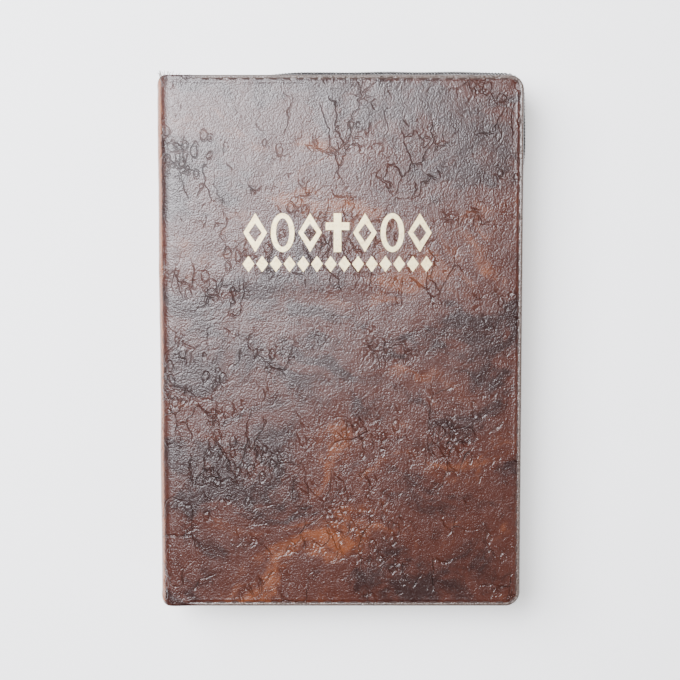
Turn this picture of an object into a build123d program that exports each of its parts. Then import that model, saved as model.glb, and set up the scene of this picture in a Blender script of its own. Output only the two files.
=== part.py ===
# A zip-around bible: a limp leather-look case, a sewn book block and a coil zip on three sides.
# It lies shut on its back cover. Millimetres, +Z up, +Y towards the head of the book, +X towards
# the fore edge. The origin is the middle of the back cover's outer face.
import math
import os

from build123d import *

os.makedirs("parts", exist_ok=True)

# ---- case ----
case_width = 147.0
case_height = 215.0
fore_corner = 6.0  # plan radius of the two fore-edge corners
spine_corner = 3.5  # plan radius at the head and tail of the spine
spine_bend = 6.0  # outer radius where the skin turns from a cover into the spine
skin_thickness = 1.0
board_thickness = 0.7
lining_thickness = 0.4
rim_height = 3.2  # how far the skin is turned down over the edge
edge_round = 0.9
panel_gap = 0.1  # between the skin's panels at a bend
board_inset = 8.0  # from the case's edge to the board's edge
board_corner = 2.0
lining_gap = 0.3
spine_board_margin = 3.0

# ---- book block ----
sections_per_half = 8
section_thickness = 1.6
page_corner = 3.0
block_edge_gap = 5.0  # from the case's edge to the cut edges of the pages
spine_round = 2.0  # how far the middle of the block's back stands out
leaf_groups = 4
leaf_group_thickness = 0.25
leaf_setback = 1.0
endpaper_thickness = 0.15
endpaper_inset = 3.0
cover_play = 0.6  # free air between the block and each cover
gauze_thickness = 0.3
gauze_margin = 12.0
gutter_gap = 0.15
spine_play = 1.4  # from the spine's lining to the axis that the block opens about
band_reach = 3.0
band_width = 1.2

# ---- zip ----
tape_thickness = 0.7
tape_flange = 6.0  # width of tape caught between skin and lining
tape_edge_gap = 0.6  # half the gap between the two tapes at the coil
tape_start = 8.0  # from the spine to the tapes' ends
tooth_pitch = 1.3
tooth_width = 0.55
tooth_height = 1.3
tooth_reach = 1.9
tooth_overlap = 0.45
teeth_start = 20.0  # from the spine to the last tooth
stop_length = 2.2
stop_height = 2.1
stop_wall = 0.8  # how far a stop stands out from the tape
stop_play = 0.2  # half the gap between facing stops
stop_clearance = 0.5

# ---- stitching ----
stitch_pitch = 5.4
stitch_length = 4.3
stitch_width = 0.6
stitch_thickness = 0.28
stitch_inset = 2.0
stitch_start = 13.0
groove_width = 0.9
groove_depth = 0.35

# ---- slider and pull ----
slider_length = 9.0
slider_width = 6.6
slider_corner = 1.4
slider_plate = 0.9
slider_play = 0.3
slider_lip = 0.7
slider_post = 0.6
slider_post_length = 2.4
slider_post_inset = 0.6
slider_place = 20.0  # from the spine to the slider's middle
bail_span = 6.6
bail_thickness = 0.6
bail_width = 1.3
bail_opening = 1.5
bar_radius = 0.45
pull_length = 24.0
pull_width = 5.2
pull_arm = 0.8
pull_arm_gap = 0.35
pull_clearance = 0.5
pull_slot_length = 7.0
pull_slot_width = 2.4
pull_slot_margin = 3.0

# ---- gold stamping ----
foil_thickness = 0.08
foil_left = 34.0  # from the spine to the stamping's left end
foil_length = 77.0
foil_top = 55.0  # from the head of the case to the top of the motifs
foil_tall = 15.5
foil_gap = 1.6
foil_low = 6.4
foil_bar = 3.0
foil_line = 2.0
foil_row_gap = 1.6  # between the motifs and the chain of links below them
foil_motifs = 7
foil_links = 14

# ---- sizes worked out from those above ----
spine_x = -case_width / 2
fore_x = case_width / 2
half_y = case_height / 2
cover_thickness = skin_thickness + board_thickness + lining_thickness
leaf_half = leaf_groups * leaf_group_thickness / 2
block_half = sections_per_half * section_thickness + leaf_half
case_half = block_half + 2 * endpaper_thickness + cover_play + cover_thickness
case_thickness = 2 * case_half
open_axis_x = spine_x + cover_thickness + spine_play
back_x = open_axis_x + gutter_gap + gauze_thickness
block_fore_x = fore_x - block_edge_gap
block_y = half_y - block_edge_gap
block_low = case_half - block_half
flyleaf_start = back_x + spine_round - spine_x
bend_inner = spine_bend - skin_thickness
lining_start = spine_bend - math.sqrt(bend_inner**2 - (bend_inner - board_thickness) ** 2) + lining_gap
tape_face = skin_thickness  # how far the tapes' outer faces lie inside the case's edge
tape_back = tape_face + tape_thickness
tape_edge = case_half - tape_edge_gap


def finish(shape, label):
    shape.label = label
    export_step(shape, f"parts/{label}.step")


def over(shape):
    return shape.mirror(Plane.XY.offset(case_half))


def both_covers(shape, name):
    finish(over(shape), f"front_{name}")
    finish(shape, f"back_{name}")


def plan(inset, left=0.0):
    with BuildSketch() as outline:
        Rectangle(case_width - 2 * inset, case_height - 2 * inset)
        ends = outline.vertices().group_by(Axis.X)
        fillet(ends[-1], max(fore_corner - inset, 0.3))
        if spine_corner > inset:
            fillet(ends[0], spine_corner - inset)
        if left > 0:
            with Locations((spine_x, 0)):
                Rectangle(2 * left, case_height, mode=Mode.SUBTRACT)
    return outline.sketch


def edge_band(outer, inner, left):
    with BuildSketch() as band:
        add(plan(outer, left))
        add(plan(inner, left), mode=Mode.SUBTRACT)
    return band.sketch


def route(inset, start):
    reach_x = fore_x - inset
    reach_y = half_y - inset
    with BuildLine() as line:
        FilletPolyline(
            (spine_x + start, reach_y),
            (reach_x, reach_y),
            (reach_x, -reach_y),
            (spine_x + start, -reach_y),
            radius=max(fore_corner - inset, 0.5),
        )
    return line.wire()


def places(inset, start, pitch, height, shift=0.0):
    line = route(inset, start)
    count = int(line.length / pitch)
    margin = (line.length - count * pitch) / 2
    planes = []
    for number in range(count + 1):
        share = (margin + number * pitch + shift) / line.length
        if share <= 1:
            spot = line.position_at(share)
            planes.append(
                Plane((spot.X, spot.Y, height), x_dir=line.tangent_at(share), z_dir=(0, 0, 1))
            )
    return planes


# ---- skin: three panels that meet at the bends ----
def bend_profile(inset):
    with BuildSketch(Plane.XZ) as profile:
        with Locations((0, case_half)):
            Rectangle(case_width - 2 * inset, case_thickness - 2 * inset)
        fillet(profile.vertices().group_by(Axis.X)[0], spine_bend - inset)
    return profile.sketch


with BuildPart() as back_skin:
    extrude(bend_profile(0), amount=half_y, both=True)
    with BuildSketch():
        add(plan(0))
    extrude(amount=case_thickness, mode=Mode.INTERSECT)
    extrude(bend_profile(skin_thickness), amount=half_y - skin_thickness, both=True, mode=Mode.SUBTRACT)
    with BuildSketch(Plane.XZ):
        with BuildLine():
            Polyline(
                (spine_x - 1, -1),
                (fore_x + 1, -1),
                (fore_x + 1, rim_height),
                (spine_x + rim_height, rim_height),
                close=True,
            )
        make_face()
    extrude(amount=half_y + 1, both=True, mode=Mode.INTERSECT)
    rim_edges = back_skin.faces().sort_by(Axis.Z)[0].edges().filter_by(
        lambda edge: edge.center().X > spine_x + spine_bend + 1
    )
    fillet(rim_edges, edge_round)
    with BuildSketch():
        add(edge_band(stitch_inset - groove_width / 2, stitch_inset + groove_width / 2, stitch_start))
    extrude(amount=groove_depth, mode=Mode.SUBTRACT)
both_covers(back_skin.part, "skin")

with BuildPart() as spine_skin:
    extrude(bend_profile(0), amount=half_y, both=True)
    with BuildSketch():
        add(plan(0))
    extrude(amount=case_thickness, mode=Mode.INTERSECT)
    extrude(bend_profile(skin_thickness), amount=half_y + 1, both=True, mode=Mode.SUBTRACT)
    with BuildSketch(Plane.XZ):
        with BuildLine():
            Polyline(
                (spine_x - 1, panel_gap - 1),
                (spine_x + spine_bend / 2, spine_bend / 2 + panel_gap),
                (spine_x + spine_bend / 2, case_thickness - spine_bend / 2 - panel_gap),
                (spine_x - 1, case_thickness - panel_gap + 1),
                close=True,
            )
        make_face()
    extrude(amount=half_y + 1, both=True, mode=Mode.INTERSECT)
finish(spine_skin.part, "spine_skin")

# ---- boards and linings ----
def sheet_panel(left, edge, corner, low, thick):
    with BuildPart() as panel:
        with BuildSketch(Plane.XY.offset(low)):
            with Locations((spine_x + left, 0)):
                RectangleRounded(
                    case_width - left - edge,
                    case_height - 2 * edge,
                    corner,
                    align=(Align.MIN, Align.CENTER),
                )
        extrude(amount=thick)
    return panel.part


def spine_panel(low, thick, depth):
    with BuildPart() as panel:
        with BuildSketch(Plane.YZ.offset(spine_x + depth)):
            with Locations((0, case_half)):
                Rectangle(case_height - 2 * spine_board_margin, case_thickness - 2 * low)
        extrude(amount=thick)
    return panel.part


both_covers(
    sheet_panel(spine_bend, board_inset, board_corner, skin_thickness, board_thickness), "board"
)
both_covers(
    sheet_panel(
        lining_start,
        tape_back + panel_gap,
        fore_corner - tape_back,
        skin_thickness + board_thickness,
        lining_thickness,
    ),
    "lining",
)
finish(spine_panel(spine_bend, board_thickness, skin_thickness), "spine_board")
finish(spine_panel(lining_start, lining_thickness, skin_thickness + board_thickness), "spine_lining")

# ---- endpapers: the back one is one folded sheet, the front one parts at its fold ----
pastedown = sheet_panel(
    flyleaf_start,
    block_edge_gap + endpaper_inset,
    page_corner,
    cover_thickness,
    endpaper_thickness,
)
flyleaf = sheet_panel(
    flyleaf_start, block_edge_gap, page_corner, block_low - endpaper_thickness, endpaper_thickness
)
finish(over(pastedown), "front_pastedown")
finish(over(flyleaf), "front_flyleaf")
with BuildPart() as back_endpaper:
    add(pastedown)
    add(flyleaf)
    with Locations((spine_x + flyleaf_start, 0, cover_thickness)):
        Box(
            endpaper_thickness,
            2 * (block_y - endpaper_inset - page_corner),
            block_low - cover_thickness,
            align=(Align.MIN, Align.CENTER, Align.MIN),
        )
finish(back_endpaper.part, "back_endpaper")


# ---- book block: a rounded back, so the fore edge is hollow by as much ----
def block_side(x):
    block_high = case_thickness - block_low
    return ThreePointArc((x + spine_round, block_low), (x, case_half), (x + spine_round, block_high))


def block_profile(left, right):
    with BuildSketch(Plane.XZ) as profile:
        with BuildLine():
            near = block_side(left)
            far = block_side(right)
            Line(near @ 0, far @ 0)
            Line(near @ 1, far @ 1)
        make_face()
    return profile.sketch


def book_solid(left, right, reach):
    with BuildPart() as solid:
        extrude(block_profile(left, right), amount=reach, both=True)
    return solid.part


def slab(solid, low, high):
    with BuildPart() as piece:
        add(solid)
        with Locations((0, 0, low)):
            Box(
                case_width,
                case_height,
                high - low,
                align=(Align.CENTER, Align.CENTER, Align.MIN),
                mode=Mode.INTERSECT,
            )
    return piece.part


with BuildPart() as block:
    add(book_solid(back_x, block_fore_x - spine_round, block_y))
    fore_edges = block.edges().filter_by(GeomType.CIRCLE).group_by(Axis.X)[-1]
    fillet(fore_edges, page_corner)
half_low = case_half + leaf_half
half_high = case_half + block_half
for number in range(sections_per_half):
    low = half_low + number * section_thickness
    section = slab(block.part, low, low + section_thickness)
    finish(section, f"front_section_{sections_per_half - number}")
    finish(over(section), f"back_section_{sections_per_half - number}")

def page_sheet(left, low):
    with BuildPart() as sheet:
        with BuildSketch(Plane.XY.offset(low)):
            with Locations((left, 0)):
                RectangleRounded(
                    block_fore_x - spine_round - left,
                    2 * block_y,
                    page_corner,
                    align=(Align.MIN, Align.CENTER),
                )
        extrude(amount=leaf_group_thickness)
    return sheet.part


# Thin groups of leaves in the middle of the block, which turn one after another.
for number in range(leaf_groups):
    leaf_group = page_sheet(
        open_axis_x + leaf_setback,
        case_half - leaf_half + number * leaf_group_thickness,
    )
    finish(leaf_group, f"leaf_group_{number + 1}")

# Gauze and head bands, glued on the back of each half.
gauze = slab(book_solid(back_x - gauze_thickness, back_x, block_y - gauze_margin), half_low, half_high)
finish(gauze, "front_gauze")
finish(over(gauze), "back_gauze")

band_blank = slab(book_solid(back_x, back_x + band_reach, block_y + band_width), half_low, half_high)
with BuildPart() as bands:
    add(band_blank)
    with Locations((0, 0, case_half)):
        Box(case_width, 2 * block_y, case_thickness, mode=Mode.SUBTRACT)
tail_band, head_band = bands.solids().sort_by(Axis.Y)
for band, name in ((head_band, "head_band"), (tail_band, "tail_band")):
    finish(over(band), f"back_{name}")
    finish(band, f"front_{name}")

# ---- zip: tapes, teeth and stops ----
with BuildPart() as back_tape:
    with BuildSketch(Plane.XY.offset(skin_thickness)):
        add(edge_band(tape_face, tape_face + tape_flange, tape_start))
    extrude(amount=tape_thickness)
    with BuildSketch(Plane.XY.offset(skin_thickness)):
        add(edge_band(tape_face, tape_back, tape_start))
    extrude(amount=tape_edge - skin_thickness)
both_covers(back_tape.part, "zip_tape")


def teeth(shift, low, name):
    height = tooth_reach + tooth_overlap
    blank = Box(tooth_width, tooth_height, height, align=(Align.CENTER, Align.MIN, Align.MIN))
    row = [plane * blank for plane in places(tape_face, teeth_start, tooth_pitch, low, shift)]
    finish(Compound(children=row), name)


teeth(0, case_half - tooth_reach, "back_zip_teeth")
teeth(tooth_pitch / 2, case_half - tooth_overlap, "front_zip_teeth")

stop_place = slider_place - slider_length / 2 - stop_clearance - stop_length
stop_top = case_half - stop_play
with BuildPart() as back_stops:
    for side in (-1, 1):
        stop_y = side * (half_y - tape_face - stop_height / 2 + stop_wall)
        with Locations((spine_x + stop_place, stop_y, stop_top)):
            Box(stop_length, stop_height, tooth_reach, align=(Align.MIN, Align.CENTER, Align.MAX))
    add(back_tape.part, mode=Mode.SUBTRACT)
both_covers(back_stops.part, "zip_stops")


# ---- slider and pull, on the tail side; out is the distance from the tapes' outer faces ----
def tail_y(out):
    return tape_face - half_y - out


slider_x = spine_x + slider_place
plate_low = tooth_height + slider_play
plate_top = plate_low + slider_plate
inner_top = -tape_thickness - slider_play


with BuildPart() as slider:
    for plate in (plate_low, inner_top - slider_plate):
        with BuildSketch(Plane.XZ.offset(-tail_y(plate))):
            with Locations((slider_x, case_half)):
                RectangleRounded(slider_length, slider_width, slider_corner)
        extrude(amount=slider_plate)
    for side in (-1, 1):
        with Locations((slider_x, tail_y(plate_low), case_half + side * (slider_width - slider_lip) / 2)):
            Box(
                slider_length - 2 * slider_corner,
                plate_low - slider_play,
                slider_lip,
                align=(Align.CENTER, Align.MIN, Align.CENTER),
            )
    with Locations((slider_x - slider_length / 2 + slider_post_inset, tail_y(plate_low), case_half)):
        Box(
            slider_post_length,
            plate_low - inner_top,
            slider_post,
            align=(Align.MIN, Align.MIN, Align.CENTER),
        )
    bail_height = bail_opening + bail_thickness
    with Locations((slider_x, tail_y(plate_top), case_half)):
        Box(bail_span, bail_height, bail_width, align=(Align.CENTER, Align.MAX, Align.CENTER))
        Box(
            bail_span - 2 * bail_thickness,
            bail_opening,
            bail_width,
            align=(Align.CENTER, Align.MAX, Align.CENTER),
            mode=Mode.SUBTRACT,
        )
    crown = slider.faces().sort_by(Axis.Y)[0].edges().filter_by(Axis.Z)
    fillet(crown, bail_thickness * 1.5)
finish(slider.part, "zip_slider")

pull_y = tail_y(plate_top + bail_opening / 2)
arm_low = bail_width / 2 + pull_arm_gap
tab_start = bail_span / 2 + pull_clearance
with BuildPart() as pull:
    with Locations((slider_x, pull_y, case_half)):
        Cylinder(bar_radius, 2 * (arm_low + pull_arm))
    for side in (-1, 1):
        with Locations((slider_x, pull_y, case_half + side * (arm_low + pull_arm / 2))):
            Box(
                tab_start + pull_arm,
                2 * bar_radius,
                pull_arm,
                align=(Align.MIN, Align.CENTER, Align.CENTER),
            )
            Cylinder(bar_radius, pull_arm)
    with BuildSketch(Plane.XZ.offset(-pull_y)):
        with Locations((slider_x + (tab_start + pull_length) / 2, case_half)):
            RectangleRounded(pull_length - tab_start, pull_width, pull_width / 3)
        with Locations((slider_x + pull_length - pull_slot_margin - pull_slot_length / 2, case_half)):
            SlotOverall(pull_slot_length, pull_slot_width, mode=Mode.SUBTRACT)
    extrude(amount=bar_radius, both=True)
finish(pull.part, "zip_pull")

# ---- stitches, sunk in the skins' grooves ----
stitch_blank = extrude(
    SlotOverall(stitch_length, stitch_width),
    amount=stitch_thickness,
)
stitch_low = groove_depth - stitch_thickness
with BuildPart() as stitches:
    for plane in places(stitch_inset, stitch_start + stitch_length, stitch_pitch, stitch_low):
        add(plane * stitch_blank)
    with BuildSketch():
        add(
            edge_band(stitch_inset - stitch_width / 2, stitch_inset + stitch_width / 2, stitch_start)
        )
    extrude(amount=skin_thickness, mode=Mode.INTERSECT)
both_covers(stitches.part, "stitching")

# ---- gold stamping: a row of plain motifs with a cross in the middle, over a chain of links ----
motif_step = foil_length / foil_motifs
motif_wide = motif_step - foil_gap
link_step = foil_length / foil_links


def lozenge(width, height):
    return [(-width / 2, 0), (0, height / 2), (width / 2, 0), (0, -height / 2)]


with BuildPart() as foil:
    with BuildSketch(Plane.XY.offset(case_thickness)):
        motif_y = half_y - foil_top - foil_tall / 2
        for number in range(foil_motifs):
            from_middle = abs(number - foil_motifs // 2)
            motif_x = spine_x + foil_left + (number + 0.5) * motif_step
            with Locations((motif_x, motif_y)):
                if from_middle == 0:
                    Rectangle(foil_bar, foil_tall)
                elif from_middle % 2:
                    Polygon(*lozenge(motif_wide, foil_tall), align=None)
                    hollow = lozenge(motif_wide - 2 * foil_line, foil_tall - 4 * foil_line)
                    Polygon(*hollow, align=None, mode=Mode.SUBTRACT)
                else:
                    Ellipse(motif_wide / 2, foil_tall / 2)
                    Ellipse(motif_wide / 2 - foil_line, foil_tall / 2 - foil_line, mode=Mode.SUBTRACT)
            if from_middle == 0:
                with Locations((motif_x, motif_y + foil_tall / 6)):
                    Rectangle(motif_wide, foil_bar)
        link_y = half_y - foil_top - foil_tall - foil_row_gap - foil_low / 2
        for number in range(foil_links):
            with Locations((spine_x + foil_left + (number + 0.5) * link_step, link_y)):
                Polygon(*lozenge(link_step - foil_row_gap / 2, foil_low), align=None)
    extrude(amount=foil_thickness)
finish(foil.part, "cover_foil")
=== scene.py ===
# A zip-around bible lying shut on a pale table: marbled leather wraps, sewn edges, ribbed zip
# tape, an interlocked coil, slider and pull, foil stamping and a gilt block of thin pages.
import math
import random

import bpy
import numpy as np
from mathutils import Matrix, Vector, noise


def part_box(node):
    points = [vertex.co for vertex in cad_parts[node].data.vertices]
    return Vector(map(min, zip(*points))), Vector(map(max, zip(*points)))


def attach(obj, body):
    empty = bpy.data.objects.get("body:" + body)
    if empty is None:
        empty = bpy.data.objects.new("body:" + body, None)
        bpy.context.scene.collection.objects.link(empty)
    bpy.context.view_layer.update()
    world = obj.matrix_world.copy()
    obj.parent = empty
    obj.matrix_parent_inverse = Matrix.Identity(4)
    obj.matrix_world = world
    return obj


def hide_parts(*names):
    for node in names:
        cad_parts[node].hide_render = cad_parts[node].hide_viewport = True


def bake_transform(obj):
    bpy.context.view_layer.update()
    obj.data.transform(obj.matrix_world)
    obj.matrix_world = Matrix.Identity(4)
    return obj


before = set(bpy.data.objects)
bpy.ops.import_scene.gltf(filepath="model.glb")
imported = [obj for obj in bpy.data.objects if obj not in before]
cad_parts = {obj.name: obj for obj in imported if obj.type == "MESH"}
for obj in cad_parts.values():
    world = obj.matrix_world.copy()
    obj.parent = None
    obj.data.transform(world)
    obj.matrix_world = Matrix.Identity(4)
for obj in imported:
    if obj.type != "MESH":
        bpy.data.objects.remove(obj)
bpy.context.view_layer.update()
print("frame loaded")
random.seed(7)

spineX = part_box("spine_skin")[0][0]
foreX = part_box("front_skin")[1][0]
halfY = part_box("front_skin")[1][1]
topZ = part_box("front_skin")[1][2]
midZ = topZ / 2
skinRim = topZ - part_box("front_skin")[0][2]
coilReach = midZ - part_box("back_zip_teeth")[0][2]
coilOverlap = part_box("back_zip_teeth")[1][2] - midZ
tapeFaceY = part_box("front_zip_tape")[1][1]
tapeInset = halfY - tapeFaceY
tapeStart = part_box("front_zip_tape")[0][0] - spineX


# small helpers
def deselectAll():
    bpy.ops.object.select_all(action="DESELECT")


def takeName(name):
    piece = bpy.context.object
    piece.name = name
    piece.data.name = name
    return piece


def shadeSmooth(piece):
    deselectAll()
    piece.select_set(True)
    bpy.context.view_layer.objects.active = piece
    bpy.ops.object.shade_smooth()


def applyModifier(piece, kind, **values):
    deselectAll()
    piece.select_set(True)
    bpy.context.view_layer.objects.active = piece
    modifier = piece.modifiers.new(kind.title(), kind)
    for key, value in values.items():
        setattr(modifier, key, value)
    bpy.ops.object.modifier_apply(modifier=modifier.name)


def editAll(piece, *steps):
    deselectAll()
    piece.select_set(True)
    bpy.context.view_layer.objects.active = piece
    bpy.ops.object.mode_set(mode="EDIT")
    bpy.ops.mesh.select_all(action="SELECT")
    for step in steps:
        step()
    bpy.ops.object.mode_set(mode="OBJECT")


def gridSheet(name, across, along):
    # a flat grid with a column at each across value and a row at each along value
    deselectAll()
    bpy.ops.mesh.primitive_grid_add(
        x_subdivisions=len(across) - 1, y_subdivisions=len(along) - 1, size=1.0
    )
    sheet = takeName(name)
    flat = np.empty(len(sheet.data.vertices) * 3)
    sheet.data.vertices.foreach_get("co", flat)
    flat = flat.reshape(-1, 3)
    column = np.rint((flat[:, 0] + 0.5) * (len(across) - 1)).astype(int)
    row = np.rint((flat[:, 1] + 0.5) * (len(along) - 1)).astype(int)
    return sheet, np.asarray(across)[column], np.asarray(along)[row]


def placeVertices(piece, points):
    piece.data.vertices.foreach_set("co", np.asarray(points, float).ravel())
    piece.data.update()


def dress(piece, material):
    piece.data.materials.clear()
    piece.data.materials.append(material)


def stepped(low, high, fine, coarse, margin):
    # grid lines from low to high, closer together within margin of either end
    start = np.arange(low, low + margin, fine)
    middle = np.linspace(low + margin, high - margin, round((high - low - 2 * margin) / coarse) + 1)
    end = np.arange(high, high - margin, -fine)[::-1]
    return np.concatenate([start, middle, end])


# the zip's and the seam's route: head edge, fore edge, tail edge
def routeLength(inset, start, radius):
    straight = foreX - inset - radius - spineX - start
    return 2 * straight + math.pi * radius + 2 * (halfY - inset - radius)


def routePoint(inset, start, radius, distance):
    # place on the route and the outward direction there, both in plan
    straight = foreX - inset - radius - spineX - start
    side = 2 * (halfY - inset - radius)
    quarter = math.pi * radius / 2
    cornerX = foreX - inset - radius
    cornerY = halfY - inset - radius
    if distance < straight:
        return spineX + start + distance, halfY - inset, 0.0, 1.0
    distance -= straight
    if distance < quarter:
        turn = distance / radius
        return (
            cornerX + radius * math.sin(turn), cornerY + radius * math.cos(turn),
            math.sin(turn), math.cos(turn),
        )
    distance -= quarter
    if distance < side:
        return foreX - inset, cornerY - distance, 1.0, 0.0
    distance -= side
    if distance < quarter:
        turn = distance / radius
        return (
            cornerX + radius * math.cos(turn), -cornerY - radius * math.sin(turn),
            math.cos(turn), -math.sin(turn),
        )
    distance -= quarter
    return cornerX - distance, -(halfY - inset), 0.0, -1.0


# materials: shared effects first
def newGroup(name, inputs, outputs):
    group = bpy.data.node_groups.new(name, "ShaderNodeTree")
    for socketName, socketType, value in inputs:
        socket = group.interface.new_socket(socketName, in_out="INPUT", socket_type=socketType)
        if value is not None:
            socket.default_value = value
    for socketName, socketType in outputs:
        group.interface.new_socket(socketName, in_out="OUTPUT", socket_type=socketType)
    return group, group.nodes.new("NodeGroupInput"), group.nodes.new("NodeGroupOutput")


def node(tree, kind, inputs=None, **settings):
    item = tree.nodes.new(kind)
    for key, value in settings.items():
        setattr(item, key, value)
    for key, value in (inputs or {}).items():
        if isinstance(value, bpy.types.NodeSocket):
            tree.links.new(value, item.inputs[key])
        else:
            item.inputs[key].default_value = value
    return item


def maths(tree, operation, first, second=0.5, clamp=False):
    item = node(tree, "ShaderNodeMath", {0: first, 1: second}, operation=operation, use_clamp=clamp)
    return item.outputs[0]


def fade(tree, value, low, high):
    item = node(tree, "ShaderNodeMapRange", {"Value": value, "From Min": low, "From Max": high})
    item.interpolation_type = "SMOOTHSTEP"
    return item.outputs["Result"]


def mixColour(tree, share, first, second):
    item = node(tree, "ShaderNodeMix", data_type="RGBA")
    for socket, value in ((item.inputs[0], share), (item.inputs[6], first), (item.inputs[7], second)):
        if isinstance(value, bpy.types.NodeSocket):
            tree.links.new(value, socket)
        else:
            socket.default_value = value
    return item.outputs[2]


def speckle(tree, vector, scale, detail=2.0, roughness=0.5, distortion=0.0):
    return node(
        tree, "ShaderNodeTexNoise",
        {"Vector": vector, "Scale": scale, "Detail": detail, "Roughness": roughness,
         "Distortion": distortion},
    ).outputs["Fac"]


def grainGroup():
    # pebble grain: small rounded cells, uneven in height
    group, given, result = newGroup(
        "PebbleGrain",
        [("Vector", "NodeSocketVector", None), ("Scale", "NodeSocketFloat", 1500.0)],
        [("Height", "NodeSocketFloat")],
    )
    cells = node(group, "ShaderNodeTexVoronoi", {"Vector": given.outputs[0], "Scale": given.outputs[1]})
    uneven = speckle(group, given.outputs[0], 420.0, 4.0, 0.65)
    rounded = maths(group, "SUBTRACT", 1.0, cells.outputs["Distance"])
    height = maths(group, "ADD", rounded, maths(group, "MULTIPLY", uneven, 1.6))
    group.links.new(height, result.inputs[0])
    return group


def wearGroup():
    # slow uneven mask for tarnish, rubbing and dust
    group, given, result = newGroup(
        "UnevenWear",
        [("Vector", "NodeSocketVector", None), ("Scale", "NodeSocketFloat", 60.0),
         ("Low", "NodeSocketFloat", 0.4), ("High", "NodeSocketFloat", 0.65)],
        [("Mask", "NodeSocketFloat")],
    )
    cloud = node(
        group, "ShaderNodeTexNoise",
        {"Vector": given.outputs[0], "Scale": given.outputs[1], "Detail": 5.0, "Roughness": 0.6},
    ).outputs["Fac"]
    item = node(
        group, "ShaderNodeMapRange",
        {"Value": cloud, "From Min": given.outputs[2], "From Max": given.outputs[3]},
    )
    group.links.new(item.outputs["Result"], result.inputs[0])
    return group


pebbleGrain = grainGroup()
unevenWear = wearGroup()


def startMaterial(name, **sockets):
    material = bpy.data.materials.new(name)
    material.use_nodes = True
    tree = material.node_tree
    shader = tree.nodes["Principled BSDF"]
    for key, value in sockets.items():
        shader.inputs[key.replace("_", " ")].default_value = value
    place = node(tree, "ShaderNodeTexCoord")
    return material, tree, shader, place.outputs["Object"]


def wear(tree, vector, scale, low, high):
    given = {"Vector": vector, "Scale": scale, "Low": low, "High": high}
    return node(tree, "ShaderNodeGroup", given, node_tree=unevenWear).outputs["Mask"]


def bump(tree, shader, height, distance, strength=1.0, under=None):
    item = node(tree, "ShaderNodeBump", {"Height": height, "Distance": distance, "Strength": strength})
    if under is not None:
        tree.links.new(under, item.inputs["Normal"])
    tree.links.new(item.outputs["Normal"], shader.inputs["Normal"])
    return item.outputs["Normal"]


leatherLook = {
    "dark": (0.016, 0.0038, 0.0028, 1), "middle": (0.042, 0.0088, 0.0042, 1),
    # pressed: the colour of a painted shade in the creases and ovals
    "warm": (0.125, 0.033, 0.0090, 1), "pressed": (0.012, 0.003, 0.002, 1),
    # strip: the colour of a painted warm light where the skin bends into the spine
    "strip": (0.26, 0.085, 0.028, 1), "stripWidth": 0.0021, "stripWander": 0.0014, "stripFade": 0.005,
    "creaseDepth": 0.00042, "ringDepth": 0.00030, "wrinkleDepth": 0.00009, "grainDepth": 0.00010,
    "trimEdge": (0.050, 0.033, 0.026, 1), "trimThread": (0.13, 0.100, 0.083, 1),
    "grainScale": 1600.0, "wrinkleScale": 1150.0, "ribScale": 1700.0, "ovalScale": 240.0,
}


def warpPlace(tree, place, scale, reach):
    cloud = node(tree, "ShaderNodeTexNoise", {"Vector": place, "Scale": scale, "Detail": 3.0})
    moved = cloud.outputs["Color"]
    for operation, value in (("SUBTRACT", (0.5, 0.5, 0.5)), ("MULTIPLY", (reach, reach, reach))):
        moved = node(tree, "ShaderNodeVectorMath", {0: moved, 1: value}, operation=operation).outputs[0]
    return node(tree, "ShaderNodeVectorMath", {0: place, 1: moved}, operation="ADD").outputs[0]


def turnPlace(tree, place, turn, drawn):
    given = {"Vector": place, "Rotation": (0, 0, turn), "Scale": drawn}
    return node(tree, "ShaderNodeMapping", given).outputs[0]


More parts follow.
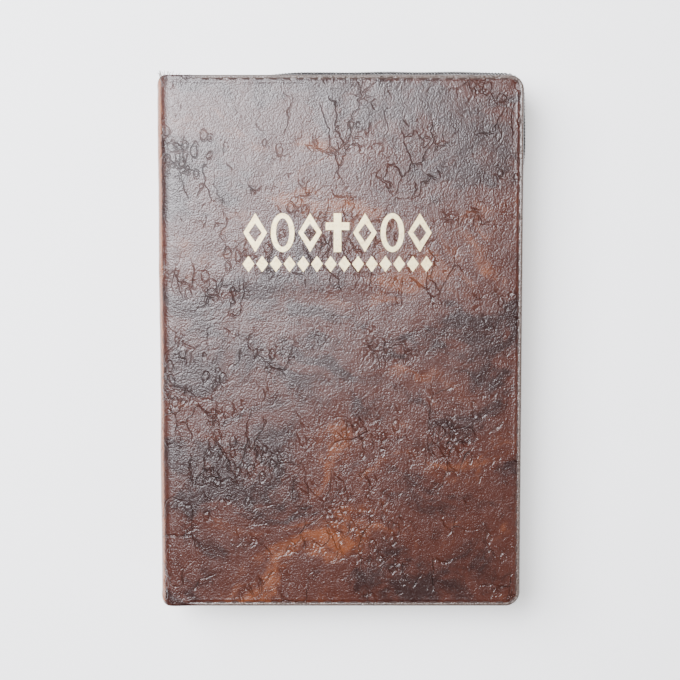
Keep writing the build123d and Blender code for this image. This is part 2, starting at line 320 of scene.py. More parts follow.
def makeLeather():
    material, tree, shader, place = startMaterial(
        "MarbledLeather", Roughness=0.38, Specular_IOR_Level=0.5, Coat_Weight=0.25, Coat_Roughness=0.33
    )
    # marbling: warped clouds run slowly between dark plum, red-brown and orange-brown
    warped = warpPlace(tree, place, 22.0, 0.04)
    stretched = turnPlace(tree, warped, 0.25, (0.75, 1.25, 1.0))
    clouds = speckle(tree, stretched, 26.0, 6.0, 0.62, 0.6)
    small = speckle(tree, warped, 170.0, 5.0, 0.65)
    blend = maths(tree, "ADD", clouds, maths(tree, "MULTIPLY", maths(tree, "SUBTRACT", small, 0.5), 0.26))
    colour = mixColour(tree, fade(tree, blend, 0.38, 0.53), leatherLook["dark"], leatherLook["middle"])
    colour = mixColour(tree, fade(tree, blend, 0.55, 0.74), colour, leatherLook["warm"])
    # a painted warm light on the strip where the skin bends into the spine, with an uneven border
    apart = node(tree, "ShaderNodeSeparateXYZ", {"Vector": place})
    wavy = maths(tree, "MULTIPLY", speckle(tree, place, 260.0, 3.0), leatherLook["stripWander"])
    edge = maths(tree, "ADD", apart.outputs["X"], wavy)
    border = spineX + leatherLook["stripWidth"] + 0.0004
    paintedBendLight = maths(tree, "SUBTRACT", 1.0, fade(tree, edge, border - 0.0002, border + 0.0004))
    fromMiddle = maths(tree, "ABSOLUTE", maths(tree, "SUBTRACT", apart.outputs["Z"], midZ))
    bendLine = midZ - leatherLook["stripFade"]
    atBend = fade(tree, fromMiddle, bendLine - 0.003, bendLine)
    paintedBendLight = maths(tree, "MULTIPLY", maths(tree, "MULTIPLY", paintedBendLight, atBend), 0.85)
    colour = mixColour(tree, paintedBendLight, colour, leatherLook["strip"])
    # embossed creases: fine crackle nets, drawn out along a slant and kept to patches
    bent = warpPlace(tree, place, 120.0, 0.0065)
    patches = fade(tree, speckle(tree, place, 42.0, 3.0, 0.55), 0.49, 0.61)
    others = fade(tree, speckle(tree, stretched, 36.0, 3.0, 0.55), 0.50, 0.62)
    nets = []
    for turn, scale, drawn, mask in (
        (0.55, 62.0, (1.0, 0.42, 1.0), patches), (-0.15, 118.0, (1.0, 0.55, 1.0), others),
        (0.30, 230.0, (1.0, 0.6, 1.0), maths(tree, "MULTIPLY", patches, others)),
    ):
        slant = turnPlace(tree, bent, turn, drawn)
        crackle = node(
            tree, "ShaderNodeTexVoronoi", {"Vector": slant, "Scale": scale}, feature="DISTANCE_TO_EDGE"
        )
        width = 0.028 * scale / 90
        line = maths(tree, "SUBTRACT", 1.0, fade(tree, crackle.outputs["Distance"], 0.0, width))
        nets.append(maths(tree, "MULTIPLY", line, mask))
    creases = maths(tree, "MAXIMUM", maths(tree, "MAXIMUM", nets[0], nets[1]), nets[2])
    # small pressed ovals, side by side in clusters
    tall = turnPlace(tree, warpPlace(tree, place, 300.0, 0.002), 0.2, (1.0, 0.62, 1.0))
    cells = node(
        tree, "ShaderNodeTexVoronoi",
        {"Vector": tall, "Scale": leatherLook["ovalScale"], "Randomness": 0.8},
    )
    ring = maths(tree, "ABSOLUTE", maths(tree, "SUBTRACT", cells.outputs["Distance"], 0.36))
    clusters = fade(tree, speckle(tree, place, 33.0, 2.0, 0.5), 0.54, 0.60)
    rings = maths(tree, "MULTIPLY", maths(tree, "SUBTRACT", 1.0, fade(tree, ring, 0.0, 0.10)), clusters)
    # painted shade: the crease and oval masks darken the colour a little towards the pressed colour
    pressed = maths(tree, "MAXIMUM", creases, maths(tree, "MULTIPLY", rings, 0.7))
    colour = mixColour(tree, maths(tree, "MULTIPLY", pressed, 0.10), colour, leatherLook["pressed"])
    # beyond the seam the edge is a ribbed grey-brown trim
    trim = node(tree, "ShaderNodeAttribute", attribute_name="trim").outputs["Fac"]
    ribs = fade(tree, speckle(tree, place, leatherLook["ribScale"], 2.0, 0.6), 0.40, 0.60)
    ribbed = mixColour(tree, ribs, leatherLook["trimEdge"], leatherLook["trimThread"])
    colour = mixColour(tree, maths(tree, "MULTIPLY", trim, 0.85), colour, ribbed)
    tree.links.new(colour, shader.inputs["Base Color"])
    # drawn wrinkles run mostly along the book, under an even pebble grain
    drawnPlace = turnPlace(tree, warpPlace(tree, place, 60.0, 0.012), 0.12, (1.0, 0.50, 1.0))
    wrinkles = speckle(tree, drawnPlace, leatherLook["wrinkleScale"], 3.0, 0.6)
    given = {"Vector": place, "Scale": leatherLook["grainScale"]}
    pebbles = node(tree, "ShaderNodeGroup", given, node_tree=pebbleGrain)
    rough = maths(tree, "ADD", maths(tree, "MULTIPLY", small, 0.18), 0.20)
    tree.links.new(rough, shader.inputs["Roughness"])
    fine = bump(tree, shader, pebbles.outputs[0], leatherLook["grainDepth"])
    drawnOut = bump(tree, shader, wrinkles, leatherLook["wrinkleDepth"], 1.0, fine)
    ovals = bump(tree, shader, maths(tree, "SUBTRACT", 1.0, rings), leatherLook["ringDepth"], 1.0, drawnOut)
    bump(tree, shader, maths(tree, "SUBTRACT", 1.0, creases), leatherLook["creaseDepth"], 1.0, ovals)
    return material


def makeThread(name, colour, shine):
    material, tree, shader, place = startMaterial(name, Roughness=0.75, Sheen_Weight=0.05)
    twist = node(tree, "ShaderNodeMapping", {"Vector": place, "Rotation": (0, 0, 0.7)}).outputs[0]
    ply = node(tree, "ShaderNodeTexWave", {"Vector": twist, "Scale": 900.0, "Distortion": 1.0})
    tree.links.new(mixColour(tree, ply.outputs["Fac"], colour, shine), shader.inputs["Base Color"])
    bump(tree, shader, ply.outputs["Fac"], 0.00008)
    return material


def makeTape():
    material, tree, shader, place = startMaterial("RibbedTape", Roughness=0.85, Sheen_Weight=0.25)
    lay = node(tree, "ShaderNodeUVMap", uv_map="UVMap").outputs["UV"]
    ribs, warp = [
        node(
            tree, "ShaderNodeTexWave", {"Vector": lay, "Scale": scale, "Distortion": 0.3},
            bands_direction=direction,
        ).outputs["Fac"]
        for scale, direction in ((420.0, "X"), (300.0, "Y"))
    ]
    weave = maths(tree, "ADD", ribs, maths(tree, "MULTIPLY", warp, 0.5))
    dust = wear(tree, place, 90.0, 0.42, 0.7)
    colour = mixColour(tree, weave, (0.030, 0.018, 0.013, 1), (0.115, 0.083, 0.066, 1))
    colour = mixColour(tree, maths(tree, "MULTIPLY", dust, 0.35), colour, (0.20, 0.16, 0.13, 1))
    tree.links.new(colour, shader.inputs["Base Color"])
    bump(tree, shader, weave, 0.00018)
    return material


def makePlastic(name, colour, roughness):
    material, tree, shader, place = startMaterial(name, Roughness=roughness)
    scuff = wear(tree, place, 700.0, 0.45, 0.75)
    pale = tuple(min(1.0, part * 1.8 + 0.02) for part in colour[:3]) + (1,)
    tree.links.new(mixColour(tree, scuff, colour, pale), shader.inputs["Base Color"])
    bump(tree, shader, scuff, 0.00003)
    return material


def makeBrass():
    material, tree, shader, place = startMaterial("AgedBrass", Metallic=1.0, Roughness=0.32)
    tarnish = wear(tree, place, 420.0, 0.42, 0.68)
    fine = speckle(tree, place, 2600.0, 3.0)
    metal = mixColour(tree, tarnish, (0.66, 0.45, 0.20, 1), (0.16, 0.095, 0.045, 1))
    tree.links.new(metal, shader.inputs["Base Color"])
    rough = maths(tree, "ADD", maths(tree, "MULTIPLY", tarnish, 0.25), 0.26)
    tree.links.new(rough, shader.inputs["Roughness"])
    bump(tree, shader, fine, 0.00003)
    return material


def makeFoil():
    material, tree, shader, place = startMaterial("PaleGoldFoil", Metallic=0.35, Roughness=0.42)
    flecks = wear(tree, place, 900.0, 0.52, 0.60)
    tone = speckle(tree, place, 300.0, 3.0)
    gold = mixColour(tree, tone, (0.86, 0.66, 0.27, 1), (0.95, 0.86, 0.55, 1))
    worn = mixColour(tree, maths(tree, "MULTIPLY", flecks, 0.35), gold, (0.35, 0.17, 0.07, 1))
    tree.links.new(worn, shader.inputs["Base Color"])
    bump(tree, shader, tone, 0.00006)
    return material


def printGroup():
    # two columns of plain grey dashes in place of print
    group, given, result = newGroup(
        "PlainDashes", [("Vector", "NodeSocketVector", None)], [("Ink", "NodeSocketFloat")]
    )
    place = given.outputs[0]
    dashes = node(
        group, "ShaderNodeTexBrick",
        {"Vector": place, "Color1": (1, 1, 1, 1), "Color2": (0.15, 0.15, 0.15, 1), "Mortar": (0, 0, 0, 1),
         "Scale": 1.0, "Mortar Size": 0.00062, "Brick Width": 0.0058, "Row Height": 0.0024},
        offset=0.37, squash=0.7, squash_frequency=3,
    )
    apart = node(group, "ShaderNodeSeparateXYZ", {"Vector": place})
    soft = printLook["soft"]
    gutter, side, tall = printLook["gutter"], printLook["column"], printLook["tall"]
    fromMiddle = maths(group, "ABSOLUTE", maths(group, "SUBTRACT", apart.outputs["X"], printLook["middle"]))
    pastSide = fade(group, fromMiddle, side - soft, side)
    column = maths(
        group, "MULTIPLY", fade(group, fromMiddle, gutter, gutter + soft),
        maths(group, "SUBTRACT", 1.0, pastSide),
    )
    pastEnd = fade(group, maths(group, "ABSOLUTE", apart.outputs["Y"]), tall - soft, tall)
    rows = maths(group, "SUBTRACT", 1.0, pastEnd)
    ink = maths(group, "MULTIPLY", maths(group, "MULTIPLY", column, rows), dashes.outputs["Color"])
    group.links.new(ink, result.inputs[0])
    return group


printLook = {
    "middle": 0.0010, "gutter": 0.0022, "column": 0.0560, "tall": 0.0900, "soft": 0.0004,
    "ink": (0.09, 0.08, 0.075, 1),
}
plainDashes = printGroup()


def printed(tree, place, paper):
    dashes = node(tree, "ShaderNodeGroup", node_tree=plainDashes)
    tree.links.new(place, dashes.inputs["Vector"])
    return mixColour(tree, maths(tree, "MULTIPLY", dashes.outputs["Ink"], 0.62), paper, printLook["ink"])


def makePages(name, gilt):
    # the leaves' cut edges show as hair lines, and the flat faces stay cream
    material, tree, shader, place = startMaterial(name, Roughness=0.5)
    thin = turnPlace(tree, place, 0.0, (14.0, 14.0, 7000.0))
    lines = speckle(tree, thin, 1.0, 2.0, 0.7)
    facing = node(tree, "ShaderNodeTexCoord").outputs["Normal"]
    upward = maths(tree, "ABSOLUTE", node(tree, "ShaderNodeSeparateXYZ", {"Vector": facing}).outputs["Z"])
    edge = maths(tree, "LESS_THAN", upward, 0.6)
    paper = mixColour(tree, speckle(tree, place, 90.0, 4.0), (0.80, 0.74, 0.61, 1), (0.88, 0.84, 0.73, 1))
    shaded = tuple(0.62 * part for part in gilt[:3]) + (1,)
    cut = mixColour(tree, fade(tree, lines, 0.35, 0.65), gilt, shaded)
    tree.links.new(mixColour(tree, edge, printed(tree, place, paper), cut), shader.inputs["Base Color"])
    tree.links.new(maths(tree, "MULTIPLY", edge, 0.7), shader.inputs["Metallic"])
    bump(tree, shader, lines, 0.00006)
    return material


def makePrintedPaper():
    material, tree, shader, place = startMaterial("PrintedPaper", Roughness=0.7)
    fibre = speckle(tree, place, 700.0, 4.0, 0.7)
    paper = mixColour(tree, fibre, (0.80, 0.75, 0.63, 1), (0.88, 0.84, 0.74, 1))
    tree.links.new(printed(tree, place, paper), shader.inputs["Base Color"])
    bump(tree, shader, fibre, 0.00002)
    return material


def makeCloth(name, colour, other, scale):
    material, tree, shader, place = startMaterial(name, Roughness=0.9, Sheen_Weight=0.2)
    nap = speckle(tree, place, scale, 5.0, 0.7)
    patchy = wear(tree, place, 45.0, 0.35, 0.7)
    mixed = mixColour(tree, maths(tree, "MULTIPLY", maths(tree, "ADD", nap, patchy), 0.5), colour, other)
    tree.links.new(mixed, shader.inputs["Base Color"])
    bump(tree, shader, nap, 0.00015)
    return material


def makeBandCloth():
    material, tree, shader, place = startMaterial("StripedBand", Roughness=0.8)
    stripes = node(tree, "ShaderNodeTexWave", {"Vector": place, "Scale": 190.0}, bands_direction="Z")
    share = fade(tree, stripes.outputs["Fac"], 0.4, 0.6)
    striped = mixColour(tree, share, (0.55, 0.36, 0.10, 1), (0.30, 0.03, 0.02, 1))
    tree.links.new(striped, shader.inputs["Base Color"])
    bump(tree, shader, stripes.outputs["Fac"], 0.0002)
    return material


leather = makeLeather()
darkThread = makeThread("BrownThread", (0.012, 0.005, 0.004, 1), (0.055, 0.022, 0.015, 1))
looseThread = makeThread("FrayedThread", (0.16, 0.12, 0.10, 1), (0.42, 0.36, 0.32, 1))
tapeCloth = makeTape()
coilPlastic = makePlastic("CoilPlastic", (0.018, 0.013, 0.012, 1), 0.35)
agedBrass = makeBrass()
goldFoil = makeFoil()
giltPages = makePages("GiltPages", (0.80, 0.57, 0.22, 1))
printedPaper = makePrintedPaper()
endpaper = makeCloth("TanEndpaper", (0.50, 0.37, 0.24, 1), (0.66, 0.54, 0.40, 1), 500.0)
lining = makeCloth("BrownLining", (0.10, 0.035, 0.020, 1), (0.19, 0.080, 0.048, 1), 900.0)
millboard = makeCloth("Millboard", (0.27, 0.25, 0.22, 1), (0.40, 0.37, 0.33, 1), 700.0)
gauzeCloth = makeCloth("GauzeCloth", (0.62, 0.58, 0.48, 1), (0.80, 0.77, 0.68, 1), 1500.0)
bandCloth = makeBandCloth()
print("materials made")

# leather wraps: one over the front, one under the back, each from mid-spine to the fore edge
wrap = {
    "wall": 0.0009, "bend": 0.0060, "foreCorner": 0.0060, "spineCorner": 0.0035, "edgeRoll": 0.0011,
    "fine": 0.00045, "coarse": 0.00135, "fineMargin": 0.0085, "flatFade": 0.003,
    "swell": 0.00032, "swellScale": 26.0, "ripple": 0.00010, "rippleScale": 150.0, "settle": 0.35,
    "foilMargin": 0.004, "spineTurn": 0.35, "turnStart": 0.004, "turnEnd": 0.016,
    "seamInset": 0.0017, "seamDepth": 0.00030, "seamWidth": 0.00050, "seamStart": 0.0130, "seamFade": 0.002,
    "trimWidth": 0.0013, "trimFade": 0.0003, "trimStart": 0.006,
}
foilLow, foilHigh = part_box("cover_foil")


def rollEdge(beyond):
    # how far out and how far down a point lies that is this far past the start of the edge's roll
    turn = np.minimum(beyond / wrap["edgeRoll"], math.pi / 2)
    out = wrap["edgeRoll"] * np.sin(turn)
    down = wrap["edgeRoll"] * (1 - np.cos(turn)) + np.maximum(0, beyond - wrap["edgeRoll"] * math.pi / 2)
    return out, down


def smoothStep(value, low, high):
    share = np.clip((value - low) / (high - low), 0, 1)
    return share * share * (3 - 2 * share)


def wrapShape(across, along):
    # unrolled places on the sheet to points and surface normals on the front cover and half spine
    bend = wrap["bend"]
    corner = wrap["foreCorner"]
    flatReach = corner - wrap["edgeRoll"]
    past = np.maximum(0, spineX + bend - across)
    turn = np.minimum(past / bend, math.pi / 2)
    x = np.maximum(across, spineX + bend) - bend * np.sin(turn)
    depth = bend * (1 - np.cos(turn)) + np.maximum(0, past - bend * math.pi / 2)
    normal = np.stack([-np.sin(turn), np.zeros_like(turn), np.cos(turn)], axis=1)
    side = np.sign(along)
    a = np.maximum(0, across - (foreX - corner))
    b = np.maximum(0, np.abs(along) - (halfY - corner))
    far = np.maximum(a, b)
    out, down = rollEdge(np.maximum(0, far - flatReach))
    reach = np.minimum(far, flatReach) + out
    slant = np.maximum(np.hypot(a, b), 1e-9)
    x = np.where(a > 0, foreX - corner + a / slant * reach, x)
    y = np.where(b > 0, halfY - corner + b / slant * reach, np.abs(along))
    atFull = smoothStep(across, spineX + wrap["turnStart"], spineX + wrap["turnEnd"])
    down = down * (wrap["spineTurn"] + (1 - wrap["spineTurn"]) * atFull)
    inward = np.maximum(0, wrap["spineCorner"] - (x - spineX))
    cut = wrap["spineCorner"] - np.sqrt(np.maximum(0, wrap["spineCorner"] ** 2 - inward ** 2))
    y = y * (1 - cut / halfY)
    points = np.stack([x - normal[:, 0] * down, y * side, topZ - depth - normal[:, 2] * down], axis=1)
    return points, normal, far - flatReach


def surfaceSwell(points, face):
    # slow swelling of limp leather, still where the foil is pressed and at the edges
    heights = np.empty(len(points))
    for number, point in enumerate(points):
        spot = Vector(point) * wrap["swellScale"] + Vector((0, 0, face))
        ripple = noise.noise(Vector(point) * wrap["rippleScale"])
        heights[number] = wrap["swell"] * noise.noise(spot) + wrap["ripple"] * ripple
    gap = wrap["foilMargin"]
    pressed = (
        smoothStep(points[:, 0], foilLow[0] - 3 * gap, foilLow[0] - gap)
        * (1 - smoothStep(points[:, 0], foilHigh[0] + gap, foilHigh[0] + 3 * gap))
        * smoothStep(points[:, 1], foilLow[1] - 3 * gap, foilLow[1] - gap)
        * (1 - smoothStep(points[:, 1], foilHigh[1] + gap, foilHigh[1] + 3 * gap))
    )
    if face > 0:
        heights *= 1 - pressed
    return heights - wrap["swell"] * wrap["settle"] * (1 - pressed if face > 0 else 1)


def makeWrap(name, face):
    low = spineX + wrap["bend"] - wrap["bend"] * math.pi / 2 - (midZ - wrap["bend"])
    rim = wrap["edgeRoll"] * (math.pi / 2 - 1) + skinRim - wrap["edgeRoll"]
    across = stepped(low, foreX + rim, wrap["fine"], wrap["coarse"], wrap["fineMargin"])
    along = stepped(-halfY - rim, halfY + rim, wrap["fine"], wrap["coarse"], wrap["fineMargin"])
    sheet, sheetX, sheetY = gridSheet(name, across, along)
    points, normal, beyond = wrapShape(sheetX, sheetY)
    flat = 1 - smoothStep(beyond, -wrap["flatFade"], 0.0)
    lift = surfaceSwell(points, face) * flat
    # the seam pulls the leather down in a line
    fromEdge = np.minimum(foreX - points[:, 0], halfY - np.abs(points[:, 1]))
    cornerA = np.maximum(0, points[:, 0] - (foreX - wrap["foreCorner"]))
    cornerB = np.maximum(0, np.abs(points[:, 1]) - (halfY - wrap["foreCorner"]))
    inCorner = (cornerA > 0) & (cornerB > 0)
    fromEdge = np.where(inCorner, wrap["foreCorner"] - np.hypot(cornerA, cornerB), fromEdge)
    seam = np.exp(-(((fromEdge - wrap["seamInset"]) / wrap["seamWidth"]) ** 2))
    start = spineX + wrap["seamStart"]
    seam = seam * smoothStep(points[:, 0], start - wrap["seamFade"], start)
    lift = lift - wrap["seamDepth"] * seam * (beyond <= 0)
    points = points + normal * lift[:, None]
    atSeam = smoothStep(points[:, 0], start, start + wrap["trimStart"])
    inside = smoothStep(fromEdge, wrap["trimWidth"], wrap["trimWidth"] + wrap["trimFade"])
    trim = np.where(beyond > 0, 1.0, 1 - inside) * atSeam
    if face < 0:
        points[:, 2] = topZ - points[:, 2]
    placeVertices(sheet, points)
    sheet.data.attributes.new("trim", "FLOAT", "POINT").data.foreach_set("value", trim)
    if face < 0:
        editAll(sheet, lambda: bpy.ops.mesh.flip_normals())
    applyModifier(sheet, "SOLIDIFY", thickness=wrap["wall"], offset=-1.0, use_even_offset=True)
    shadeSmooth(sheet)
    dress(sheet, leather)
    return sheet


frontWrap = makeWrap("front_wrap", 1)
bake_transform(frontWrap)
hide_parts("front_skin", "spine_skin")
backWrap = makeWrap("back_wrap", -1)
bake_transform(backWrap)
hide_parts("back_skin")
print("leather wraps made")

# lockstitches: one thread loop is modelled and copied along each seam
stitch = {
    "pitch": 0.0054, "length": 0.0042, "width": 0.00078, "height": 0.00056, "start": 0.0173,
    "sink": 0.00006, "endDip": 0.00035, "lean": 0.06, "radius": 0.0040, "clear": 0.01,
}


def stitchBlank():
    deselectAll()
    bpy.ops.mesh.primitive_uv_sphere_add(
        segments=10, ring_count=8, radius=0.5, rotation=(0, math.pi / 2, 0)
    )
    bpy.ops.object.transform_apply(location=True, rotation=True, scale=True)
    blank = takeName("stitch_blank")
    blank.scale = (stitch["length"], stitch["width"], stitch["height"])
    bpy.ops.object.transform_apply(location=False, rotation=False, scale=True)
    return blank


def makeSeam(name, face, body, skin, replaced):
    bpy.context.view_layer.update()
    drop, surface = (-1, topZ) if face > 0 else (1, 0.0)
    blank = stitchBlank()
    shape = np.array([vertex.co[:] for vertex in blank.data.vertices])
    length = routeLength(wrap["seamInset"], stitch["start"], stitch["radius"])
    count = int(length / stitch["pitch"])
    margin = (length - count * stitch["pitch"]) / 2
    copies = []
    for number in range(count + 1):
        middle = margin + number * stitch["pitch"]
        lean = random.uniform(-stitch["lean"], stitch["lean"])
        points = []
        for along, out, up in shape:
            spot = min(max(middle + along, 0.0), length)
            x, y, outX, outY = routePoint(wrap["seamInset"], stitch["start"], stitch["radius"], spot)
            side = out + lean * along
            x, y = x + outX * side, y + outY * side
            dip = stitch["sink"] + stitch["endDip"] * (2 * along / stitch["length"]) ** 4
            found, hit, _, _ = skin.ray_cast((x, y, surface + face * stitch["clear"]), (0, 0, drop))
            points.append((x, y, (hit[2] if found else surface) + face * (up - dip)))
        copy = blank.copy()
        copy.data = blank.data.copy()
        bpy.context.collection.objects.link(copy)
        placeVertices(copy, points)
        copies.append(copy)
    bpy.data.objects.remove(blank)
    deselectAll()
    for copy in copies:
        copy.select_set(True)
    bpy.context.view_layer.objects.active = copies[0]
    bpy.ops.object.join()
    seam = takeName(name)
    editAll(seam, lambda: bpy.ops.mesh.normals_make_consistent(inside=False))
    shadeSmooth(seam)
    dress(seam, darkThread)
    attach(seam, body)
    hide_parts(replaced)


makeSeam("front_seam", 1, "front_cover", frontWrap, "front_stitching")
makeSeam("back_seam", -1, "back_cover", backWrap, "back_stitching")
print("seams sewn")

# zip tapes: ribbed strips that bow outwards where the limp case lets them
zipper = {
    "tapeThick": 0.0006, "gap": 0.0006, "rimTuck": 0.0012, "cornerRadius": 0.0050, "rows": 14,
    "step": 0.0012, "sink": 0.0001, "headBow": 0.0026, "foreBow": 0.0022, "restBow": 0.0006,
    "waver": 0.0004, "waverScale": 45.0, "calmStart": 0.028, "calmEnd": 0.060,
    "coilStart": 0.0200, "pitch": 0.0013, "wire": 0.00027, "turnPoints": 8, "coilThick": 0.00045,
    "coilOut": 0.00070,
}


def tapeBow(x, y):
    # the tape stands out most along the head and at the upper fore edge, and lies flat at the tail
    calm = smoothStep(x, spineX + zipper["calmStart"], spineX + zipper["calmEnd"])
    head = smoothStep(y, halfY - 0.012, halfY - 0.002) * zipper["headBow"]
    fore = smoothStep(x, foreX - 0.010, foreX - 0.002) * smoothStep(y, 0.052, 0.080) * zipper["foreBow"]
    uneven = zipper["waver"] * noise.noise(Vector((x, y, 0.3)) * zipper["waverScale"])
    tail = 1 - smoothStep(-y, halfY - 0.016, halfY - 0.006)
    return float(calm * tail * (max(head, fore, zipper["restBow"]) + uneven))


def makeZipTape(name, face, body, replaced):
    length = routeLength(tapeInset, tapeStart, zipper["cornerRadius"])
    along = np.linspace(0, length, int(length / zipper["step"]))
    across = np.linspace(0, 1, zipper["rows"])
    sheet, share, distance = gridSheet(name, across, along)
    high = topZ - zipper["rimTuck"]
    low = midZ + zipper["gap"]
    points = []
    for part, spot in zip(share, distance):
        x, y, outX, outY = routePoint(tapeInset, tapeStart, zipper["cornerRadius"], spot)
        rise = smoothStep(part, 0.12, 1.0) * tapeBow(x, y) - zipper["sink"]
        z = high + (low - high) * part
        points.append((x + outX * rise, y + outY * rise, z if face > 0 else topZ - z))
    placeVertices(sheet, points)
    layer = sheet.data.uv_layers.new(name="UVMap") if not sheet.data.uv_layers else sheet.data.uv_layers[0]
    layer.name = "UVMap"
    corners = np.empty(len(sheet.data.loops), dtype=np.int32)
    sheet.data.loops.foreach_get("vertex_index", corners)
    lay = np.stack([distance[corners], share[corners] * (high - low)], axis=1)
    layer.data.foreach_set("uv", lay.ravel())
    editAll(sheet, lambda: bpy.ops.mesh.normals_make_consistent(inside=False))
    middle = sheet.data.polygons[len(sheet.data.polygons) // 2]
    if middle.normal.x * (1 if middle.center.x > 0 else -1) < 0:
        editAll(sheet, lambda: bpy.ops.mesh.flip_normals())
    applyModifier(sheet, "SOLIDIFY", thickness=zipper["tapeThick"], offset=-1.0)
    shadeSmooth(sheet)
    dress(sheet, tapeCloth)
    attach(sheet, body)
    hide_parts(replaced)


makeZipTape("front_tape", 1, "front_cover", "front_zip_tape")
makeZipTape("back_tape", -1, "back_cover", "back_zip_tape")


def makeCoil(name, face, body, replaced):
    # one plastic wire wound in flat loops, half a pitch out of step with the facing one
    length = routeLength(tapeInset, zipper["coilStart"], zipper["cornerRadius"])
    turns = int(length / zipper["pitch"]) - 1
    curve = bpy.data.curves.new(name, "CURVE")
    curve.dimensions = "3D"
    curve.bevel_depth = zipper["wire"]
    curve.bevel_resolution = 1
    curve.use_fill_caps = True
    spline = curve.splines.new("POLY")
    count = turns * zipper["turnPoints"] + 1
    spline.points.add(count - 1)
    half = (coilReach + coilOverlap) / 2 - zipper["wire"]
    centre = (coilOverlap - coilReach) / 2
    shift = 0.5 if face > 0 else 0.0
    for number in range(count):
        turn = number / zipper["turnPoints"]
        spot = (turn + shift + 0.25) * zipper["pitch"]
        x, y, outX, outY = routePoint(tapeInset, zipper["coilStart"], zipper["cornerRadius"], spot)
        angle = 2 * math.pi * turn
        out = zipper["coilOut"] + zipper["coilThick"] * math.sin(angle) + tapeBow(x, y)
        rise = centre + half * math.cos(angle)
        z = midZ - rise if face > 0 else midZ + rise
        spline.points[number].co = (x + outX * out, y + outY * out, z, 1.0)
    coil = bpy.data.objects.new(name, curve)
    bpy.context.collection.objects.link(coil)
    deselectAll()
    coil.select_set(True)
    bpy.context.view_layer.objects.active = coil
    bpy.ops.object.convert(target="MESH")
    coil = takeName(name)
    shadeSmooth(coil)
    dress(coil, coilPlastic)
    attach(coil, body)
    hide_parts(replaced)


makeCoil("front_coil", 1, "front_cover", "front_zip_teeth")
makeCoil("back_coil", -1, "back_cover", "back_zip_teeth")
print("zip made")

# frayed ends of tape and thread at the head of the spine
fray = {
    "count": 26, "wire": 0.00010, "reach": 0.0022, "span": 0.020, "crowd": 1.8, "inset": 0.0016,
    "tuck": 0.0006, "root": 0.0008,
}


def makeFray():
    strands = bpy.data.curves.new("frayed_ends", "CURVE")
    strands.dimensions = "3D"
    strands.bevel_depth = fray["wire"]
    strands.bevel_resolution = 1
    strands.use_fill_caps = True
    for number in range(fray["count"]):
        near = (number / fray["count"]) ** fray["crowd"]
        x = spineX + fray["inset"] + fray["span"] * near
        y = halfY - fray["tuck"]
        z = topZ - random.uniform(0.0012, 0.0022)
        strand = strands.splines.new("BEZIER")
        strand.bezier_points.add(2)
        lean = random.uniform(-0.0018, 0.0012)
        tall = fray["reach"] * random.uniform(0.35, 1.0) * (1.15 - near)
        tip = random.uniform(-0.0004, 0.0007)
        steps = ((0, -fray["root"], 0), (lean * 0.4, tall * 0.6, 0.0006), (lean, tall, tip))
        for point, (dx, dy, dz) in zip(strand.bezier_points, steps):
            point.co = (x + dx, y + dy, z + dz)
            point.handle_left_type = point.handle_right_type = "AUTO"
    piece = bpy.data.objects.new("frayed_ends", strands)
    bpy.context.collection.objects.link(piece)
    deselectAll()
    piece.select_set(True)
    bpy.context.view_layer.objects.active = piece
    bpy.ops.object.convert(target="MESH")
    piece = takeName("frayed_ends")
    shadeSmooth(piece)
    dress(piece, looseThread)
    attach(piece, "front_cover")


makeFray()
print("frayed ends made")

# nodes that keep their own shape get their finish
finishes = {
    "board": millboard, "lining": lining, "gauze": gauzeCloth, "band": bandCloth, "pastedown": endpaper,
    "flyleaf": endpaper, "endpaper": endpaper, "section": giltPages, "leaf_group": printedPaper,
    "stops": agedBrass, "zip_slider": agedBrass, "zip_pull": agedBrass, "cover_foil": goldFoil,
}
for nodeName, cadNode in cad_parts.items():
    for word, material in finishes.items():
        if word in nodeName and not cadNode.hide_render:
            cadNode.data.materials.clear()
            cadNode.data.materials.append(material)
print("finishes given to the kept nodes")

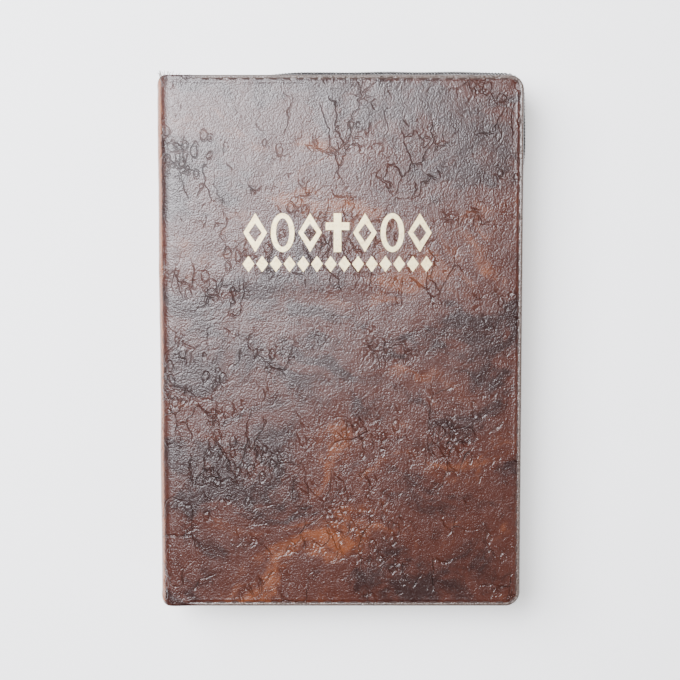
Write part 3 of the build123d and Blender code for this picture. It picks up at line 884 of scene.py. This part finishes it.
# table, light and camera
studio = {
    "distance": 0.552, "tilt": 3.9, "lens": 72.5, "aimX": 0.0, "aimY": 0.0016, "table": 6.0,
    "keySize": 0.70, "keyPlace": (-0.47, 0.33, 0.85), "keyPower": 29.0,
    "glowSize": 0.34, "glowPlace": (-0.21, 0.25, 0.95), "glowPower": 11.0,
    "fillSize": 1.0, "fillPlace": (0.95, -0.75, 0.75), "fillPower": 7.0,
    "tableDrop": 0.0004, "tableGlow": 0.75, "worldPower": 0.14,
}
deselectAll()
bpy.ops.mesh.primitive_plane_add(size=studio["table"], location=(0, 0, -studio["tableDrop"]))
table = takeName("table_top")
tableMaterial, tableTree, tableShader, tablePlace = startMaterial(
    "PaleTable", Roughness=0.9, Emission_Color=(1, 1, 1, 1), Emission_Strength=studio["tableGlow"]
)
tableCloud = speckle(tableTree, tablePlace, 30.0, 3.0)
tablePale = mixColour(tableTree, tableCloud, (0.90, 0.90, 0.90, 1), (0.93, 0.93, 0.93, 1))
tableTree.links.new(tablePale, tableShader.inputs["Base Color"])
table.data.materials.append(tableMaterial)


def areaLight(name, size, place, power, colour):
    data = bpy.data.lights.new(name, "AREA")
    data.size = size
    data.energy = power
    data.color = colour
    light = bpy.data.objects.new(name, data)
    light.location = place
    light.rotation_euler = (Vector((0, 0, 0)) - Vector(place)).to_track_quat("-Z", "Y").to_euler()
    bpy.context.collection.objects.link(light)


areaLight("window_softbox", studio["keySize"], studio["keyPlace"], studio["keyPower"], (0.93, 0.94, 1.0))
areaLight("corner_glow", studio["glowSize"], studio["glowPlace"], studio["glowPower"], (0.95, 0.95, 1.0))
areaLight("fill_panel", studio["fillSize"], studio["fillPlace"], studio["fillPower"], (1.0, 0.99, 0.97))
world = bpy.data.worlds.new("PaleRoom")
world.use_nodes = True
world.node_tree.nodes["Background"].inputs["Color"].default_value = (1, 1, 1, 1)
world.node_tree.nodes["Background"].inputs["Strength"].default_value = studio["worldPower"]
bpy.context.scene.world = world

lean = math.radians(studio["tilt"])
aim = Vector((studio["aimX"], studio["aimY"], topZ))
cameraData = bpy.data.cameras.new("camera")
cameraData.lens = studio["lens"]
cameraData.sensor_width = 36.0
cameraData.clip_start = 0.01
camera = bpy.data.objects.new("camera", cameraData)
camera.location = aim + Vector((0, math.sin(lean), math.cos(lean))) * studio["distance"]
camera.rotation_euler = (-lean, 0, 0)
bpy.context.collection.objects.link(camera)
bpy.context.scene.camera = camera
print("studio set")
